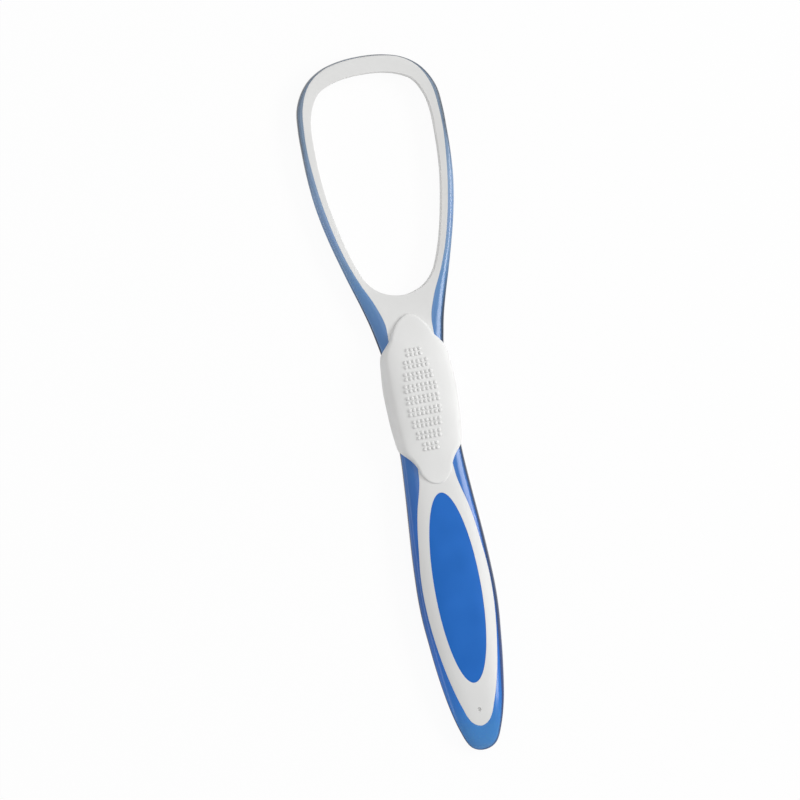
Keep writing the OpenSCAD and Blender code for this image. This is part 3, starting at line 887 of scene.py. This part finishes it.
def dotTree():
    tree = bpy.data.node_groups.new("gripDotTree", "GeometryNodeTree")
    face = tree.interface
    face.new_socket("Points", in_out="INPUT", socket_type="NodeSocketGeometry")
    face.new_socket("Dot width", in_out="INPUT", socket_type="NodeSocketFloat")
    face.new_socket("Dot height", in_out="INPUT", socket_type="NodeSocketFloat")
    face.new_socket("Dot material", in_out="INPUT", socket_type="NodeSocketMaterial")
    face.new_socket("Dots", in_out="OUTPUT", socket_type="NodeSocketGeometry")
    given = addNode(tree, "NodeGroupInput").outputs
    half = addNode(tree, "ShaderNodeMath", {"operation": "MULTIPLY"}, {0: given["Dot width"], 1: 0.5})
    radius = half.outputs[0]
    ball = addNode(tree, "GeometryNodeMeshUVSphere", None,
                   {"Segments": dots["segments"], "Rings": dots["rings"], "Radius": radius})
    smooth = addNode(tree, "GeometryNodeSetShadeSmooth", None, {"Geometry": ball.outputs["Mesh"]})
    # flattened to a dome whose lower half is buried in the sleeve
    share = addNode(tree, "ShaderNodeMath", {"operation": "DIVIDE"}, {0: given["Dot height"], 1: radius})
    flat = addNode(tree, "ShaderNodeCombineXYZ", None, {"X": 1.0, "Y": 1.0, "Z": share.outputs[0]})
    placed = addNode(tree, "GeometryNodeTransform", None,
                     {"Geometry": smooth.outputs["Geometry"], "Scale": flat.outputs[0]})
    instances = addNode(tree, "GeometryNodeInstanceOnPoints", None,
                        {"Points": given["Points"], "Instance": placed.outputs["Geometry"]})
    real = addNode(tree, "GeometryNodeRealizeInstances", None, {"Geometry": instances.outputs["Instances"]})
    shaded = addNode(tree, "GeometryNodeSetMaterial", None,
                     {"Geometry": real.outputs["Geometry"], "Material": given["Dot material"]})
    addNode(tree, "NodeGroupOutput", None, {"Dots": shaded.outputs["Geometry"]})
    return tree


def makeDots():
    places = []
    groups = len(dots["counts"])
    for g, count in enumerate(dots["counts"]):
        for row in (0.5, -0.5):
            along = dots["middle"] + ((groups - 1) / 2 - g) * dots["groupPitch"] + row * dots["rowPitch"]
            places += [(dots["across"] + (i - (count - 1) / 2) * dots["pitch"], along) for i in range(count)]
    places = np.array(places)
    verts = (lift(places, sleeveHeight(places)) - [0, body["length"] / 2, 0]) * mm
    mesh = bpy.data.meshes.new("dotPlaces")
    mesh.from_pydata([tuple(v) for v in verts], [], [])
    carrier = bpy.data.objects.new("dotPlaces", mesh)
    bpy.context.scene.collection.objects.link(carrier)
    modifier = carrier.modifiers.new("gripDots", "NODES")
    tree = dotTree()
    modifier.node_group = tree
    given = {"Dot width": dots["width"] * mm, "Dot height": dots["height"] * mm, "Dot material": whiteSoft}
    for item in tree.interface.items_tree:
        if item.item_type == "SOCKET" and item.name in given:
            modifier[item.identifier] = given[item.name]
    graph = bpy.context.evaluated_depsgraph_get()
    made = bpy.data.meshes.new_from_object(carrier.evaluated_get(graph))
    made.name = "gripDots"
    carrier.modifiers.remove(modifier)
    bpy.data.objects.remove(carrier)
    addPiece("gripDots", made, "white_sleeve", whiteSoft, "thumb_sleeve")


makeDots()
print("dots made")

# Table, light and camera
stageSet = {
    "tilt": 10.28,  # how far the object's line leans to the left in the picture
    "roll": 8.5,  # how far the camera stands over the object's left side
    "distance": 1.6,
    "frameWidth": 0.21,  # width of the picture at the object
    "centre": (5.79, -0.76),  # where the object's middle lies in the picture, right of and above its centre
    "middleHeight": 3,
    "sensorWidth": 36,
    "tableRadius": 6,
    "tableDrop": 0.02,  # the table and the object's back don't share a plane
    "tableWhite": 0.94,  # share of plain white in what the camera sees of the table
    "fill": 0.42,
}
lamps = {
    "rightSoftbox": {"size": (1.0, 0.38), "place": (0.983, 0.05, 0.688), "power": 9.0},
    "overheadSoft": {"size": (1.3, 1.3), "place": (0.15, 0.2, 1.35), "power": 5.0},
    "leftBounce": {"size": (1.2, 0.3), "place": (-1.2, 0, 0.16), "power": 1.9},
}
lampTarget = Vector((0, 0, 0))


def seenDirectly(tree):
    # 1 for what the camera sees, straight on, mirrored or through something clear
    path = addNode(tree, "ShaderNodeLightPath").outputs
    seen = addNode(tree, "ShaderNodeMath", {"operation": "MAXIMUM"},
                   {0: path["Is Camera Ray"], 1: path["Is Glossy Ray"]})
    return addNode(tree, "ShaderNodeMath", {"operation": "MAXIMUM"},
                   {0: seen.outputs[0], 1: path["Is Transmission Ray"]}).outputs[0]


def makeTable():
    material, tree = startMaterial("paleTable")
    paper = addNode(tree, "ShaderNodeBsdfDiffuse", None, {"Color": linear("#EEEEEE")})
    white = addNode(tree, "ShaderNodeEmission", None, {"Color": linear("#FFFFFF"), "Strength": 1.0})
    share = addNode(tree, "ShaderNodeMath", {"operation": "MULTIPLY"},
                    {0: seenDirectly(tree), 1: stageSet["tableWhite"]})
    mixed = addNode(tree, "ShaderNodeMixShader", None,
                    {0: share.outputs[0], 1: paper.outputs[0], 2: white.outputs[0]})
    addNode(tree, "ShaderNodeOutputMaterial", None, {"Surface": mixed.outputs[0]})
    mesh = bpy.data.meshes.new("table")
    bm = bmesh.new()
    bmesh.ops.create_circle(bm, cap_ends=True, radius=stageSet["tableRadius"], segments=64)
    bm.to_mesh(mesh)
    bm.free()
    mesh.materials.append(material)
    table = bpy.data.objects.new("table", mesh)
    table.location.z = -stageSet["tableDrop"] * mm
    bpy.context.scene.collection.objects.link(table)


def makeWorld():
    world = bpy.data.worlds.new("studio")
    world.use_nodes = True
    tree = world.node_tree
    tree.nodes.clear()
    soft = addNode(tree, "ShaderNodeBackground", None,
                   {"Color": linear("#FFFFFF"), "Strength": stageSet["fill"]})
    white = addNode(tree, "ShaderNodeBackground", None, {"Color": linear("#FFFFFF"), "Strength": 1.0})
    mixed = addNode(tree, "ShaderNodeMixShader", None,
                    {0: seenDirectly(tree), 1: soft.outputs[0], 2: white.outputs[0]})
    addNode(tree, "ShaderNodeOutputWorld", None, {"Surface": mixed.outputs[0]})
    bpy.context.scene.world = world


def addLamp(name, size, place, power):
    lamp = bpy.data.lights.new(name, "AREA")
    lamp.shape = "RECTANGLE"
    lamp.size, lamp.size_y = size
    lamp.energy = power
    holder = bpy.data.objects.new(name, lamp)
    holder.location = place
    holder.rotation_euler = (lampTarget - Vector(place)).to_track_quat("-Z", "Y").to_euler()
    bpy.context.scene.collection.objects.link(holder)


def makeCamera():
    camera = bpy.data.cameras.new("camera")
    holder = bpy.data.objects.new("camera", camera)
    bpy.context.scene.collection.objects.link(holder)
    bpy.context.scene.camera = holder
    roll, tilt = math.radians(stageSet["roll"]), math.radians(stageSet["tilt"])
    across, alongAxis = Vector((math.cos(roll), 0, math.sin(roll))), Vector((0, 1, 0))
    back = Vector((-math.sin(roll), 0, math.cos(roll)))
    right = across * math.cos(tilt) - alongAxis * math.sin(tilt)
    up = across * math.sin(tilt) + alongAxis * math.cos(tilt)
    middle = Vector((0, 0, stageSet["middleHeight"] * mm))
    aim = middle - right * stageSet["centre"][0] * mm - up * stageSet["centre"][1] * mm
    holder.rotation_euler = Matrix((right, up, back)).transposed().to_euler()
    holder.location = aim + back * stageSet["distance"]
    camera.type = "PERSP"
    camera.sensor_width = stageSet["sensorWidth"]
    camera.lens = stageSet["sensorWidth"] * stageSet["distance"] / stageSet["frameWidth"]
    camera.clip_start, camera.clip_end = 0.05, 50


makeTable()
makeWorld()
for lampName, lamp in lamps.items():
    addLamp(lampName, lamp["size"], lamp["place"], lamp["power"])
makeCamera()
print("stage made")

scene = bpy.context.scene
scene.view_settings.view_transform = "Standard"
